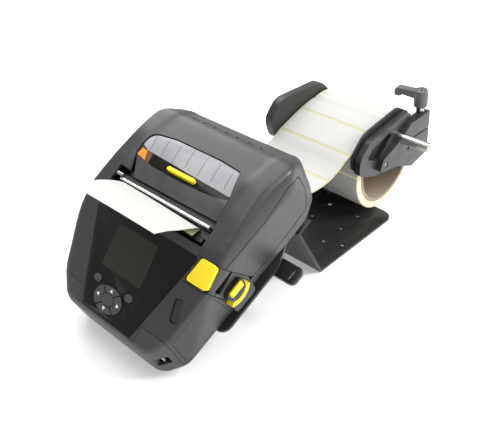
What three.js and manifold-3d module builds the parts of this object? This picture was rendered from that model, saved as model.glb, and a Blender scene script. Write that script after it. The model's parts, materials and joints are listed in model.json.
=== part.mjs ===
// Label printer on an inclined stand with an external roll holder.
// Millimetres, +Z up, +X across the paper, +Y from the printer's front towards the roll.
import * as THREE from 'three';
import { mergeVertices } from 'three/addons/utils/BufferGeometryUtils.js';
import Module from 'manifold-3d';

const wasm = await Module();
wasm.setup();

// ---------------------------------------------------------------- driving dimensions
const GAP = 0.3;                 // air between pieces that meet
const PITCH = 25;                // printer's slope on the stand, degrees
const PRINTER_Y = -182.7;        // front bottom edge of the printer on the table plan
const PRINTER_Z = 3.6;
const HALF_WIDTH = 80;           // printer
const LENGTH = 191;
const HEIGHT = 87;
const WALL = 2.5;
const DISPLAY_SLOPE = 27;        // display face against the printer's base
const DISPLAY_Y = 5.3;           // a point of the display face
const DISPLAY_Z = 40.8;
const SLOT_Y = 95;               // label exit slot between front bezel and cover
const NOSE_Y = 12.4;             // seam between nose bumper and bezel
const RIM_Z = 7.5;               // top of the lower case's rim
const HINGE_Y = 188;             // media cover hinge
const HINGE_Z = 30;
const SEAM = [[60, 53], [94, 54], [140, 56], [170, 60], [200, 64]];
const MEDIA = 85.5;              // label web width
const SHEET = 0.5;               // label web thickness
const SHAFT = [132.9, 89.2];     // roll shaft, y and z
const SHAFT_R = 5;
const ROLLER_R = 9.9;
const CORE_R = 41.5;
const CORE_WALL = 3.5;
const ROLL_R = 52.6;
const ROLL = [SHAFT[0], SHAFT[1] - CORE_R + ROLLER_R + 0.1];
const PLATE = 2.5;               // sheet metal of the stand
const BASE_HALF = 63;
const BASE_Y0 = 1.4;
const BASE_Y1 = 126.8;
const HUB_X0 = 46.4;             // right guide body along the shaft
const ARM_X0 = 53.4;
const HUB_X1 = 59;
const SHAFT_END = 87;
const LEVER = [52, 170, 103.6];    // clamp lever's foot
const LEVER_LEAN = 9;
const PLATEN = [105, 71.5];      // y and z in the printer
const IDLER = [91.9, 56.5];
const PINION = [75.8, 43.9];
const GEAR_R = [9, 10.2, 9.9];
const KNOB = [77, 37];
const KNOB_R = 9.6;
const ACCENT_R = [11, 15.5];
const RING = [-5, 9.3];          // centre of the navigation ring on the display face

// ---------------------------------------------------------------- materials
const paint = (color, roughness, metalness = 0) =>
  new THREE.MeshStandardMaterial({ color, roughness, metalness });
const CASE = paint(0x4b4c4f, 0.6);
const RUBBER = paint(0x55565a, 0.75);
const GLOSS = paint(0x08080a, 0.12);
const KEY = paint(0x3c3d40, 0.5);
const YELLOW = paint(0xf6dd1e, 0.45);
const SMOKE = paint(0xa4a4a8, 0.25);
const AMBER = paint(0xc47a14, 0.35);
const BLACK_METAL = paint(0x2c2c2c, 0.5, 0.6);
const ANODISED = paint(0x626266, 0.4, 0.8);
const STEEL = paint(0xc4c4c6, 0.25, 1);
const PAPER = paint(0xf6f6f2, 0.7);
const CARD = paint(0xa08a72, 0.9);
const BOARD = paint(0x1e5a34, 0.6);
const BLACK_PLASTIC = paint(0x1b1b1d, 0.5);
const LEVER_GREY = paint(0x606366, 0.5);

// ---------------------------------------------------------------- solids
const deg = THREE.MathUtils.degToRad;

function solid(geometry) {
  const plain = geometry.clone();
  plain.deleteAttribute('normal');
  plain.deleteAttribute('uv');
  const merged = mergeVertices(plain, 1e-4);
  return new wasm.Manifold(new wasm.Mesh({
    numProp: 3,
    vertProperties: Float32Array.from(merged.attributes.position.array),
    triVerts: Uint32Array.from(merged.index.array),
  }));
}

function geometryOf(body) {
  const mesh = body.getMesh();
  const geometry = new THREE.BufferGeometry();
  geometry.setAttribute('position', new THREE.BufferAttribute(Float32Array.from(mesh.vertProperties), 3));
  geometry.setIndex(new THREE.BufferAttribute(Uint32Array.from(mesh.triVerts), 1));
  return geometry;
}

// corners are [a, b] or [a, b, radius]; a round corner becomes an arc, no longer than its edges allow
function outline(corners, steps = 5) {
  const at = (i) => new THREE.Vector2(...corners[(i + corners.length) % corners.length].slice(0, 2));
  return corners.flatMap(([, , wanted = 0], i) => {
    const here = at(i);
    if (!wanted) return [here];
    const toLast = at(i - 1).sub(here);
    const toNext = at(i + 1).sub(here);
    const room = 0.49 * Math.min(toLast.length(), toNext.length());
    toLast.normalize();
    toNext.normalize();
    const half = Math.acos(THREE.MathUtils.clamp(toLast.dot(toNext), -1, 1)) / 2;
    const radius = Math.min(wanted, room * Math.tan(half));
    const start = here.clone().addScaledVector(toLast, radius / Math.tan(half));
    const end = here.clone().addScaledVector(toNext, radius / Math.tan(half));
    const centre = here.clone().addScaledVector(toLast.add(toNext).normalize(), radius / Math.sin(half));
    const from = Math.atan2(start.y - centre.y, start.x - centre.x);
    const swing = Math.atan2(end.y - centre.y, end.x - centre.x) - from;
    const turn = Math.atan2(Math.sin(swing), Math.cos(swing));
    return Array.from({ length: steps + 1 }, (_, k) => {
      const angle = from + (turn * k) / steps;
      return new THREE.Vector2(centre.x + radius * Math.cos(angle), centre.y + radius * Math.sin(angle));
    });
  });
}

function ellipse(ca, cb, ra, rb, steps = 24) {
  const points = [];
  for (let k = 0; k < steps; k += 1) {
    const angle = (2 * Math.PI * k) / steps;
    points.push(new THREE.Vector2(ca + ra * Math.cos(angle), cb + rb * Math.sin(angle)));
  }
  return points;
}

const extrude = (points, depth) =>
  new THREE.ExtrudeGeometry(new THREE.Shape(points), { depth, bevelEnabled: false, curveSegments: 1 });

const BASIS_X = new THREE.Matrix4().makeBasis(
  new THREE.Vector3(0, 1, 0), new THREE.Vector3(0, 0, 1), new THREE.Vector3(1, 0, 0));
const BASIS_Y = new THREE.Matrix4().makeBasis(
  new THREE.Vector3(1, 0, 0), new THREE.Vector3(0, 0, 1), new THREE.Vector3(0, -1, 0));

// an outline in the plane across an axis, swept along that axis
const alongX = (points, x0, x1) => solid(extrude(points, x1 - x0).applyMatrix4(BASIS_X).translate(x0, 0, 0));
const alongY = (points, y0, y1) => solid(extrude(points, y1 - y0).applyMatrix4(BASIS_Y).translate(0, y1, 0));
const alongZ = (points, z0, z1) => solid(extrude(points, z1 - z0).translate(0, 0, z0));
const block = (x0, x1, y0, y1, z0, z1) => solid(
  new THREE.BoxGeometry(x1 - x0, y1 - y0, z1 - z0).translate((x0 + x1) / 2, (y0 + y1) / 2, (z0 + z1) / 2));
const rodX = (radius, x0, x1, y, z, sides = 24) => alongX(ellipse(y, z, radius, radius, sides), x0, x1);
const rodZ = (radius, x, y, z0, z1, sides = 20) => alongZ(ellipse(x, y, radius, radius, sides), z0, z1);
const cutAll = (body, cuts) => cuts.reduce((left, cut) => left.subtract(cut), body);
const joinAll = (bodies) => bodies.reduce((sum, body) => sum.add(body));

const root = new THREE.Group();
const printer = new THREE.Group();
printer.position.set(0, PRINTER_Y, PRINTER_Z);
printer.rotation.x = deg(PITCH);
root.add(printer);

function add(name, body, material, parent = root) {
  const mesh = new THREE.Mesh(body.isBufferGeometry ? body : geometryOf(body), material);
  mesh.name = name;
  parent.add(mesh);
  return mesh;
}

// ---------------------------------------------------------------- printer envelope
const SIDE = [[-3.5, 0, 5], [-3.5, 36.3, 5], [81, 79.4, 10], [112, 84.5, 20], [140, HEIGHT, 30],
  [172, 81, 24], [LENGTH, 63, 13], [LENGTH, 36, 16], [172, 0, 14]];
const PLAN_HALF = [[50, -3.5, 14], [65, 14, 20], [78, 56, 30], [HALF_WIDTH, 90, 20], [HALF_WIDTH, 160, 24],
  [66, LENGTH, 22]];
const FRONT_HALF = [[65, 0, 5], [HALF_WIDTH, 68, 9], [75, HEIGHT + 1.2, 15]];

const mirrored = (half) => [...half, ...half.slice().reverse().map(([a, b, r]) => [-a, b, r])];

// the same corners with every edge moved inwards by t
function insetCorners(corners, t) {
  const count = corners.length;
  const area = corners.reduce((sum, [a, b], i) => {
    const [na, nb] = corners[(i + 1) % count];
    return sum + a * nb - na * b;
  }, 0);
  const inward = Math.sign(area);
  const edges = corners.map(([a, b], i) => {
    const [na, nb] = corners[(i + 1) % count];
    const length = Math.hypot(na - a, nb - b);
    return [(-(nb - b) / length) * inward, ((na - a) / length) * inward];
  });
  return corners.map(([a, b, radius = 0], i) => {
    const [pa, pb] = edges[(i + count - 1) % count];
    const [qa, qb] = edges[i];
    const scale = t / (1 + pa * qa + pb * qb);
    return [a + (pa + qa) * scale, b + (pb + qb) * scale, Math.max(radius - t, 0.6)];
  });
}

function envelope(inset) {
  const shape = (corners) => outline(insetCorners(corners, inset));
  return alongX(shape(SIDE), -100, 100)
    .intersect(alongZ(shape(mirrored(PLAN_HALF)), -10, 110))
    .intersect(alongY(shape(mirrored(FRONT_HALF)), -20, 220));
}

const OUTER = envelope(0);
const INNER = envelope(WALL);
const DEEP = envelope(3.4);

// display face frame: x across, s up the slope, n out of the face
const DISPLAY = new THREE.Matrix4()
  .makeTranslation(0, DISPLAY_Y, DISPLAY_Z)
  .multiply(new THREE.Matrix4().makeRotationX(deg(DISPLAY_SLOPE)));
function onDisplay(points, n0, n1) {
  return solid(extrude(points, n1 - n0).translate(0, 0, n0).applyMatrix4(DISPLAY));
}

// ---------------------------------------------------------------- split lines of the printer
const FAR = 100;
const coverSide = [[SLOT_Y + 4, FAR], [SLOT_Y + 4, RIM_Z], [150, RIM_Z], [164, 11], [178, 23], [184, 31], [FAR * 2, 31],
  [FAR * 2, FAR]];
const lowerSide = [[-FAR, -FAR], [FAR * 2, -FAR], [FAR * 2, 30], [184, 30], [178, 22], [164, 10], [150, 6.8],
  [NOSE_Y - GAP, 6.8], [NOSE_Y - GAP, FAR], [-FAR, FAR]];
const vec = (list) => list.map(([a, b]) => new THREE.Vector2(a, b));
const LIP = 36;                      // half width of the display tongue over the nose
const lipRegion = (grow) => onDisplay(
  vec([[-LIP - grow, -6 - grow], [LIP + grow, -6 - grow], [LIP + grow, 12], [-LIP - grow, 12]]), -5 - grow, 20);

// ---------------------------------------------------------------- openings of the shells
const glassOutline = (grow) => outline([[-30 - grow, -5.4 - grow, 3], [30 + grow, -5.4 - grow, 3],
  [59 + grow, 76 + grow, 3], [-59 - grow, 76 + grow, 3]], 3);
const latchOutline = (grow) => outline([[55.5 - grow, 57 - grow, 2], [77 + grow, 57 - grow, 3],
  [77.6 + grow, 77.4 + grow, 3], [62 - grow, 77.4 + grow, 2]], 2);
const pillOutline = (grow) => outline([[58.2 - grow, 23 - grow, 3.6], [66 + grow, 25 - grow, 3.6],
  [62.5 + grow, 43 + grow, 3.6], [54.7 - grow, 41 + grow, 3.6]], 3);
const ringOutline = ellipse(RING[0], RING[1], 16.8, 11.3, 32);
const softOutline = (side, grow) => ellipse(RING[0] + side * 19.2, 20, 4.4 + grow, 3.3 + grow, 16);
// the rear lower corner has more room, because the door's inner edge swings up past it
const portRegion = (grow) => alongX(outline([[15.5 - grow, 10 - grow], [67 + 4 * grow, 10 - grow],
  [56.5 + grow, 60 + grow, 2], [15.5 - grow, 39 + grow, 2]], 2), 50, 100);
const batteryBay = (grow) => block(-100, -10, 22 - grow, 72 + grow, 3 - grow, 25 + grow);

function makeLowerCase() {
  const shell = OUTER.intersect(alongX(vec(lowerSide), -FAR, FAR)).subtract(INNER).subtract(lipRegion(GAP));
  const webSlot = block(-46, 46, 168, 200, 14, 18);
  const hingeRelief = rodX(5.2, -FAR, FAR, HINGE_Y, HINGE_Z);
  const strapWindow = block(51, 90, -2, 8, 15, 25);
  const frontSlots = [-30, 30].map((x) => block(x - 7, x + 7, -10, -0.8, 6, 9));
  return cutAll(shell, [webSlot, hingeRelief, strapWindow, batteryBay(GAP), ...frontSlots]);
}

// the cover's shoulders reach forward to the latch, square to the display face
const SHOULDER_X = 56.7;
const SHOULDER = [[64, 103], [95.2, 25]];
function shoulders(region) {
  return region.subtract(block(-SHOULDER_X - GAP, SHOULDER_X + GAP, 0, SLOT_Y + 4, 0, FAR * 2));
}
const shoulderNotch = alongX(vec([[63.5, 102.8], [94.7, 24.8], [FAR, 24.8], [FAR, 102.8]]), -FAR, FAR)
  .subtract(block(-SHOULDER_X, SHOULDER_X, 0, SLOT_Y + 4, 0, FAR * 2));

// a third of a ring under the latch knob
function accent(grow, x0, x1) {
  const [y, z] = KNOB;
  const [inner, outer] = ACCENT_R;
  const sector = alongX(vec([[y - 1, z - 2 + grow], [y + 22, z - 12 + grow], [y + 22, z - 40], [y - 17, z - 40],
    [y - 17 - grow, z - 18]]), 60, 100);
  return rodX(outer + grow, x0, x1, y, z, 40).subtract(rodX(inner - grow, 50, 110, y, z, 40)).intersect(sector);
}

function makeFrontBezel() {
  const main = block(-FAR, FAR, NOSE_Y, SLOT_Y - 0.2, RIM_Z, FAR);
  const shell = OUTER.intersect(main.add(lipRegion(0))).subtract(DEEP);
  const openings = [
    onDisplay(glassOutline(GAP), -1.8, 30),
    onDisplay(ringOutline, -20, 30),
    onDisplay(softOutline(-1, GAP), -20, 30),
    onDisplay(softOutline(1, GAP), -20, 30),
    onDisplay(latchOutline(GAP), -20, 30),
    onDisplay(pillOutline(GAP), -20, 30),
    portRegion(GAP),
    batteryBay(GAP),
    rodX(KNOB_R + 0.5, 60, 100, ...KNOB, 28),
    accent(GAP, 66.7, 100),
    block(-SHOULDER_X - 0.1, SHOULDER_X + 0.1, 80, 100, 60, 100),
    shoulderNotch,
  ];
  return cutAll(shell, openings);
}

function coverRegion() {
  const shoulder = alongX(vec([...SHOULDER, [SLOT_Y + 4.1, 24], [SLOT_Y + 4.1, 103]]), -FAR, FAR);
  return alongX(vec(coverSide), -FAR, FAR).add(shoulders(shoulder));
}

function makeCover() {
  const region = coverRegion();
  const whole = OUTER.intersect(region).subtract(INNER);
  const sideCut = alongX(vec([...SEAM, [220, -20], [60, -20]]), -FAR, FAR);
  const middle = block(-49.7, 49.7, 60, 220, -20, 120);
  const upper = whole.subtract(sideCut.subtract(middle));
  const slots = [-3, -2, -1, 0, 1, 2, 3].map((i) => block(i * 13 - 4.5, i * 13 + 4.5, 183, 200, 68, 70));
  const webSlot = block(-46, 46, 150, 200, 10, 26);
  const pinCut = rodX(6.5, -58, -51, SLOT_Y + 3, 82, 20);
  return cutAll(upper, [block(-51.3, 51.3, 80, 146.3, 70, 120), webSlot, pinCut, ...slots,
    rodX(1.8, -47, 47, HINGE_Y, HINGE_Z)]);
}

function makeCoverSide(side) {
  const region = coverRegion();
  const below = alongX(vec([...SEAM.map(([a, b]) => [a, b - GAP]), [220, -20], [60, -20]]), -FAR, FAR);
  const half = side > 0 ? block(50, 100, 60, 220, -20, 120) : block(-100, -50, 60, 220, -20, 120);
  return OUTER.intersect(region).intersect(below).intersect(half).subtract(INNER);
}

const coverBand = (y0, y1, drop, thick) =>
  OUTER.translate([0, 0, -drop]).subtract(OUTER.translate([0, 0, -drop - thick]))
    .intersect(block(-51, 51, y0, y1, 70, 120));

function makeWindow() {
  return coverBand(122.3, 146, 0.6, 2.4);
}

function makeFrontPanel() {
  const notch = alongZ(outline([[-16.5, 116.5, 2.5], [15.3, 116.5, 2.5], [15.3, 130, 1], [-16.5, 130, 1]], 3), 60, 120);
  return coverBand(SLOT_Y + 4, 122, 0.3, 2.6).subtract(notch);
}

// ---------------------------------------------------------------- small repeated forms
function gearGeometry(radius, teeth, width) {
  const points = [];
  for (let i = 0; i < teeth; i += 1) {
    [[-0.27, radius - 1.6], [-0.13, radius], [0.13, radius], [0.27, radius - 1.6]].forEach(([part, r]) => {
      const angle = ((i + part) * 2 * Math.PI) / teeth;
      points.push(new THREE.Vector2(r * Math.cos(angle), r * Math.sin(angle)));
    });
  }
  return extrude(points, width).applyMatrix4(BASIS_X);
}

function gear(radius, teeth, centre, x0) {
  return solid(gearGeometry(radius, teeth, 4)).translate([x0, ...centre]);
}

// ---------------------------------------------------------------- printer
add('lower_case', makeLowerCase(), CASE, printer);
add('front_bezel', makeFrontBezel(), CASE, printer);
add('media_cover', makeCover(), RUBBER, printer);
add('cover_side_right', makeCoverSide(1), CASE, printer);
add('cover_side_left', makeCoverSide(-1), CASE, printer);
add('cover_window', makeWindow(), SMOKE, printer);
add('cover_front_panel', makeFrontPanel(), GLOSS, printer);
add('cover_grip_bar', alongZ(outline([[-16, 117, 2], [14.8, 117, 2], [14.8, 121.9, 2], [-16, 121.9, 2]], 3),
  82.5, 86.3), YELLOW, printer);
add('hinge_pin', rodX(1.5, -46, 46, HINGE_Y, HINGE_Z, 16), STEEL, printer);

function addDisplay() {
  const glass = cutAll(onDisplay(glassOutline(0), -1.5, 0.1), [
    onDisplay(ringOutline, -5, 5),
    onDisplay(softOutline(-1, GAP), -5, 5),
    onDisplay(softOutline(1, GAP), -5, 5),
  ]);
  add('display_glass', glass.subtract(block(-56, 56, 80, 100, 60, 100)), GLOSS, printer);
  add('lcd_module', onDisplay(outline([[-26, 30], [26, 30], [26, 68], [-26, 68]]), -9, -4.2), BLACK_PLASTIC, printer);
}
addDisplay();

function addKeys() {
  const band = (r0, r1) => {
    const ring = onDisplay(ellipse(RING[0], RING[1], 16.2, 10.8, 40), -4.8, 0.9);
    return ring.subtract(onDisplay(ellipse(RING[0], RING[1], 7.6, 5.2, 28), r0, r1));
  };
  const cross = [40, 140, 220, 320].map((angle) => {
    const bar = extrude(vec([[0, -0.45], [40, -0.45], [40, 0.45], [0, 0.45]]), 20).translate(0, 0, -10);
    return solid(bar.rotateZ(deg(angle)).translate(RING[0], RING[1], 0).applyMatrix4(DISPLAY));
  });
  const ring = cutAll(band(-12, 12), cross);
  const names = { key_left: [-12, 0], key_up: [0, 8], key_right: [12, 0], key_down: [0, -8] };
  const pieces = ring.decompose();
  Object.entries(names).forEach(([name, [a, b]]) => {
    const target = new THREE.Vector3(RING[0] + a, RING[1] + b, -2).applyMatrix4(DISPLAY);
    const nearest = pieces.reduce((best, piece) => (apart(piece, target) < apart(best, target) ? piece : best));
    add(name, nearest, KEY, printer);
  });
  add('key_ok', onDisplay(ellipse(RING[0], RING[1], 7, 4.7, 28), -4.8, 1.1), KEY, printer);
  add('soft_key_left', onDisplay(softOutline(-1, 0), -4.8, 0.9), KEY, printer);
  add('soft_key_right', onDisplay(softOutline(1, 0), -4.8, 0.9), KEY, printer);
  add('keypad_board', onDisplay(outline([[-28, -1, 2], [20, -1, 2], [20, 25, 2], [-28, 25, 2]], 2), -9, -7.4),
    BOARD, printer);
}

function apart(piece, target) {
  const { min, max } = piece.boundingBox();
  return new THREE.Vector3((min[0] + max[0]) / 2, (min[1] + max[1]) / 2, (min[2] + max[2]) / 2).distanceTo(target);
}
addKeys();

add('power_button', onDisplay(pillOutline(0), -4.5, -0.8).intersect(OUTER.subtract(envelope(5))), KEY, printer);
add('latch_button', onDisplay(latchOutline(0), -5.2, 4).intersect(OUTER.translate([0, 0, 0.5])), YELLOW, printer);
add('port_cover', OUTER.subtract(INNER).intersect(portRegion(0)), CASE, printer);
add('strap_post', rodZ(1.6, 53.5, 5.5, 15.3, 24.7, 12), STEEL, printer);
add('battery_pack', OUTER.intersect(block(-100, -12, 22, 72, 3, 25)), BLACK_PLASTIC, printer);

function addLatchKnob() {
  const [y, z] = KNOB;
  const bar = (grow) => outline([[y - 6.8 - grow, z - grow, 1.6], [y + 6.8 + grow, z - grow, 1.6],
    [y + 6.8 + grow, z + 6 + grow, 1.6], [y - 6.8 - grow, z + 6 + grow, 1.6]], 3);
  add('latch_knob', rodX(KNOB_R, 66.5, 78, y, z, 28).subtract(alongX(bar(GAP), 76.4, 90)), CASE, printer);
  add('latch_knob_bar', alongX(bar(0), 76.8, 79), YELLOW, printer);
  add('latch_accent', accent(0, 67, 76.5), YELLOW, printer);
}
addLatchKnob();

// ---------------------------------------------------------------- print mechanism
add('tear_bar', alongX(vec([[SLOT_Y + 1.2, 79], [SLOT_Y + 3.2, 79], [SLOT_Y + 3.2, 83], [SLOT_Y + 2, 84]]), -52, 52),
  STEEL, printer);
add('platen_roller', rodX(6, -50, 50, ...PLATEN, 28).add(rodX(2, -56.5, 63, ...PLATEN, 16)), BLACK_PLASTIC, printer);
add('printhead', block(-52, 52, 88, 94, 66, 74), BLACK_PLASTIC, printer);
add('head_heatsink', block(-50, 50, 84, 87.6, 58, 74), ANODISED, printer);
add('platen_gear', gear(GEAR_R[0], 16, PLATEN, 57).subtract(rodX(2.3, 50, 70, ...PLATEN, 16)), BLACK_PLASTIC, printer);
add('idler_gear', gear(GEAR_R[1], 18, IDLER, 57).add(rodX(2, 54, 60, ...IDLER, 12)), BLACK_PLASTIC, printer);
add('motor_pinion', gear(GEAR_R[2], 17, PINION, 57).subtract(rodX(1.8, 50, 70, ...PINION, 16)), BLACK_PLASTIC, printer);
add('drive_motor', rodX(11, 32, 54, ...PINION, 24).add(rodX(1.5, 53, 61.5, ...PINION, 12)), STEEL, printer);
add('main_board', block(-54, 28, 24, 84, 29, 30.6), BOARD, printer);

function addMediaGuide(name, side) {
  const plate = alongX(outline([[122, 22, 3], [168, 22, 3], [168, 58, 8], [140, 74, 8], [122, 74, 8]], 3),
    side > 0 ? 44 : -46.5, side > 0 ? 46.5 : -44);
  add(name, plate, AMBER, printer);
}
addMediaGuide('media_guide_left', -1);
addMediaGuide('media_guide_right', 1);
add('guide_rail', block(-48, 48, 138, 146, 16, 21.6).subtract(block(-60, 60, 140, 144, 10, 16.5)), BLACK_PLASTIC,
  printer);

// ---------------------------------------------------------------- labels
// a thin sheet that follows a path in the y z plane, its thickness on the path's upper side
function ribbon(path, thickness, x0, x1) {
  const curve = new THREE.CatmullRomCurve3(path.map(([a, b]) => new THREE.Vector3(0, a, b)));
  const count = (path.length - 1) * 4;
  const positions = [];
  const faces = [];
  for (let k = 0; k <= count; k += 1) {
    const point = curve.getPoint(k / count);
    const along = curve.getTangent(k / count);
    const [up, out] = [point.z - along.y * thickness, point.y + along.z * thickness];
    positions.push(x0, point.y, point.z, x1, point.y, point.z, x1, out, up, x0, out, up);
  }
  const quad = (a, b, c, d) => faces.push(a, b, c, a, c, d);
  for (let k = 0; k < count; k += 1) {
    for (let side = 0; side < 4; side += 1) {
      const next = (side + 1) % 4;
      quad(4 * k + side, 4 * k + next, 4 * k + 4 + next, 4 * k + 4 + side);
    }
  }
  quad(3, 2, 1, 0);
  quad(4 * count, 4 * count + 1, 4 * count + 2, 4 * count + 3);
  const geometry = new THREE.BufferGeometry();
  geometry.setAttribute('position', new THREE.BufferAttribute(Float32Array.from(positions), 3));
  geometry.setIndex(faces);
  return geometry;
}

// the web leaves the roll's top, hangs in a shallow sag and enters the printer's rear slot
const toWorld = ([a, b]) => {
  const point = new THREE.Vector3(0, a, b).applyAxisAngle(new THREE.Vector3(1, 0, 0), deg(PITCH));
  return [point.y + PRINTER_Y, point.z + PRINTER_Z];
};
const WEB = [[114.5, 107.6], [96, 103.5], [64, 92.5], [48, 84], [32, 78.3], [10, 77.5], [-8, 82],
  toWorld([192, 15.9]), toWorld([172, 16.2]), toWorld([150, 26]), toWorld([128, 48]), toWorld([110, 63])];
add('label_web', ribbon(WEB, SHEET, -MEDIA / 2, MEDIA / 2), PAPER);
const LABEL = [[95.6, 77], [94.3, 83.5], [89.5, 93], [81, 103.5], [71, 112.5], [61, 119.5]];
add('issued_label', ribbon(LABEL, 0.4, -MEDIA / 2, MEDIA / 2), PAPER, printer);

function ringX(outer, inner, x0, x1, centre, sides) {
  return rodX(outer, x0, x1, ...centre, sides).subtract(rodX(inner, x0 - 1, x1 + 1, ...centre, sides));
}
add('roll_core', ringX(CORE_R + CORE_WALL, CORE_R, -MEDIA / 2, MEDIA / 2, ROLL, 64), CARD);
add('label_roll', ringX(ROLL_R, CORE_R + CORE_WALL + GAP, -MEDIA / 2, MEDIA / 2, ROLL, 64), PAPER);

// ---------------------------------------------------------------- roll holder
add('roll_shaft', rodX(SHAFT_R, -66, SHAFT_END, ...SHAFT, 28), STEEL);
add('support_roller', ringX(ROLLER_R, SHAFT_R + GAP, -42, 42, SHAFT, 32), BLACK_PLASTIC);

const sidePlate = outline([[57, 82, 9], [48.5, 104, 13], [64, 122, 16], [128, 121, 18], [148, 104, 14], [150, 80, 20],
  [90, 76, 30]]);
add('left_side_plate', alongX(sidePlate, -52.4, -44).subtract(rodX(SHAFT_R + GAP, -60, -40, ...SHAFT, 28)), ANODISED);

function makeUpright() {
  const wall = alongX(outline([[70, PLATE + GAP], [118, PLATE + GAP], [146, 82, 10], [144, 102, 10], [122, 102, 8],
    [112, 84, 20]]), -62, -56);
  const foot = block(-62, -45, 70, 118, PLATE + GAP, PLATE + 4 + GAP);
  const holes = [82, 106].map((y) => rodZ(2.3, -50, y, 0, 12));
  return cutAll(wall.add(foot), [rodX(SHAFT_R + GAP, -70, -50, ...SHAFT, 28), ...holes]);
}
add('upright_bracket', makeUpright(), BLACK_METAL);
add('shaft_nut', rodX(8.5, -65.8, -62.3, ...SHAFT, 6).subtract(rodX(SHAFT_R + GAP, -70, -60, ...SHAFT, 28)), STEEL);
[82, 106].forEach((y, i) => add(`foot_screw_${i + 1}`, rodZ(4, -50, y, PLATE + 4 + 2 * GAP, PLATE + 7, 12)
  .add(rodZ(2, -50, y, 0.4, PLATE + 6, 12)), STEEL));

const guidePlate = outline([[63, 78, 12], [64, 94, 12], [80, 110, 14], [136, 118, 16], [158, 106, 12], [164, 76, 22],
  [96, 60, 26]]);
add('guide_plate', alongX(guidePlate, 43.6, 45.6).subtract(rodX(SHAFT_R + GAP, 40, 50, ...SHAFT, 28)), BLACK_METAL);

const inLeverFrame = (body) => body.rotate([LEVER_LEAN, 0, 0]).translate(LEVER);

function makeGuideBody() {
  const pad = alongX(outline([[66, 72, 11], [66, 90, 11], [80, 104, 11], [146, 113, 10], [160, 90, 10], [156, 60, 12],
    [96, 60, 24]]), HUB_X0, ARM_X0);
  const recess = alongX(outline([[77, 86, 3], [84, 95.5, 3], [122, 103, 3], [96, 78, 3]]), 49, HUB_X1 + 1);
  const arm = alongX(outline([[94, 66, 5], [98, 79.5, 5], [122, 88, 8], [144, 102, 10], [178, 104], [183, 70],
    [184, 54], [156, 48, 12], [128, 60, 14]]), HUB_X0 + 3, HUB_X1);
  const cuts = [
    rodX(SHAFT_R + GAP, 40, 70, ...SHAFT, 28),
    block(45, 60, SHAFT[0], 190, 83, 84.6),
    rodX(2.8, 40, 70, 104.5, 71.5, 16),
    rodX(2, 40, 70, 144, 74, 16),
    inLeverFrame(rodZ(3.5, 0, 0, -40, 10, 16)),
    inLeverFrame(rodZ(5.4, 0, 0, 0.2, 20, 16)),
  ];
  return cutAll(pad.subtract(recess).add(arm), cuts);
}
add('guide_body', makeGuideBody(), ANODISED);
add('guide_screw', rodX(2.5, 46.4, 58.2, 104.5, 71.5, 16), STEEL);

function addClampLever() {
  const group = new THREE.Group();
  group.position.set(...LEVER);
  group.rotation.x = deg(LEVER_LEAN);
  root.add(group);
  const collar = rodZ(7, 0, 0, 7, 22, 24);
  const arm = alongY(outline([[0, 15], [0, 24, 2], [-22, 21.5, 2.5], [-28, 21, 3], [-30, 11.5, 2.5], [-23, 12, 2.5],
    [-20, 15, 4]], 4), -4, 4);
  const cap = rodZ(6.2, 0, 0, 20, 25, 24);
  const handle = joinAll([collar, arm, cap]).subtract(rodZ(3.4, 0, 0, 0, 40, 16));
  add('clamp_lever', handle, LEVER_GREY, group);
  add('clamp_lever_screw', rodZ(3.1, 0, 0, -24, 24.4, 16).subtract(rodZ(1.6, 0, 0, 21, 30, 6)).add(
    rodZ(4.6, 0, 0, 0.6, 6.7, 6)), STEEL, group);
}
addClampLever();

// ---------------------------------------------------------------- stand
function offsetPath(path, thickness) {
  const normals = path.slice(1).map(([a, b], i) => {
    const [pa, pb] = path[i];
    const length = Math.hypot(a - pa, b - pb);
    return [-(b - pb) / length, (a - pa) / length];
  });
  const shifted = path.map(([a, b], i) => {
    const n0 = normals[Math.max(i - 1, 0)];
    const n1 = normals[Math.min(i, normals.length - 1)];
    const scale = thickness / (1 + n0[0] * n1[0] + n0[1] * n1[1]);
    return [a + (n0[0] + n1[0]) * scale, b + (n0[1] + n1[1]) * scale];
  });
  return vec([...path, ...shifted.reverse()]);
}

function makeStand() {
  const riserTop = toWorld([158, -3.4 - PLATE - GAP]);
  const flangeEnd = toWorld([176, -3.4 - PLATE - GAP]);
  const path = [[BASE_Y1, 0], [BASE_Y0, 0], riserTop, flangeEnd];
  const sheet = alongX(offsetPath(path, -PLATE), -BASE_HALF, BASE_HALF);
  const plan = alongZ(outline([[-BASE_HALF, -80], [BASE_HALF, -80], [BASE_HALF, BASE_Y1, 12], [-BASE_HALF, BASE_Y1, 12]]),
    -5, 150);
  const spots = [[-36, 14], [36, 14], [-36, 41], [36, 41], [54, 48], [0, 68], [36, 70], [0, 99], [36, 100], [-15, 120]];
  const holes = spots.map(([x, y]) => rodZ(2.2, x, y, -5, 6, 12));
  const sinks = [[0, 99]].map(([x, y]) => rodZ(4, x, y, PLATE - 1, 6, 16));
  const footHoles = [82, 106].map((y) => rodZ(2.3, -50, y, -5, 6, 12));
  return cutAll(sheet.intersect(plan), [...holes, ...sinks, ...footHoles]);
}
add('stand_sheet', makeStand(), BLACK_METAL);

const cradle = alongZ(outline([[-36, 8, 8], [36, 8, 8], [36, 50, 3], [71, 50, 9], [71, 122, 9], [60, 150, 9],
  [60, 178, 6], [-60, 178, 6], [-60, 150, 9], [-71, 122, 9], [-71, 50, 9], [-36, 50, 3]]), -3.3, -GAP);
const lugs = [[112, 116], [135, 139]].map(([y0, y1]) => block(25, 35, y0, y1, -14, -1));
const pinHole = alongY(ellipse(30, -10.4, 1.5, 1.5, 12), 100, 150);
add('cradle_plate', joinAll([cradle, ...lugs]).subtract(pinHole), BLACK_METAL, printer);
add('front_foot', alongX(vec([toWorld([12, -3.6]), [toWorld([12, -3.6])[0], 0], [toWorld([30, -3.6])[0], 0],
  toWorld([30, -3.6])]), -30, 30), BLACK_PLASTIC);

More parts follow.
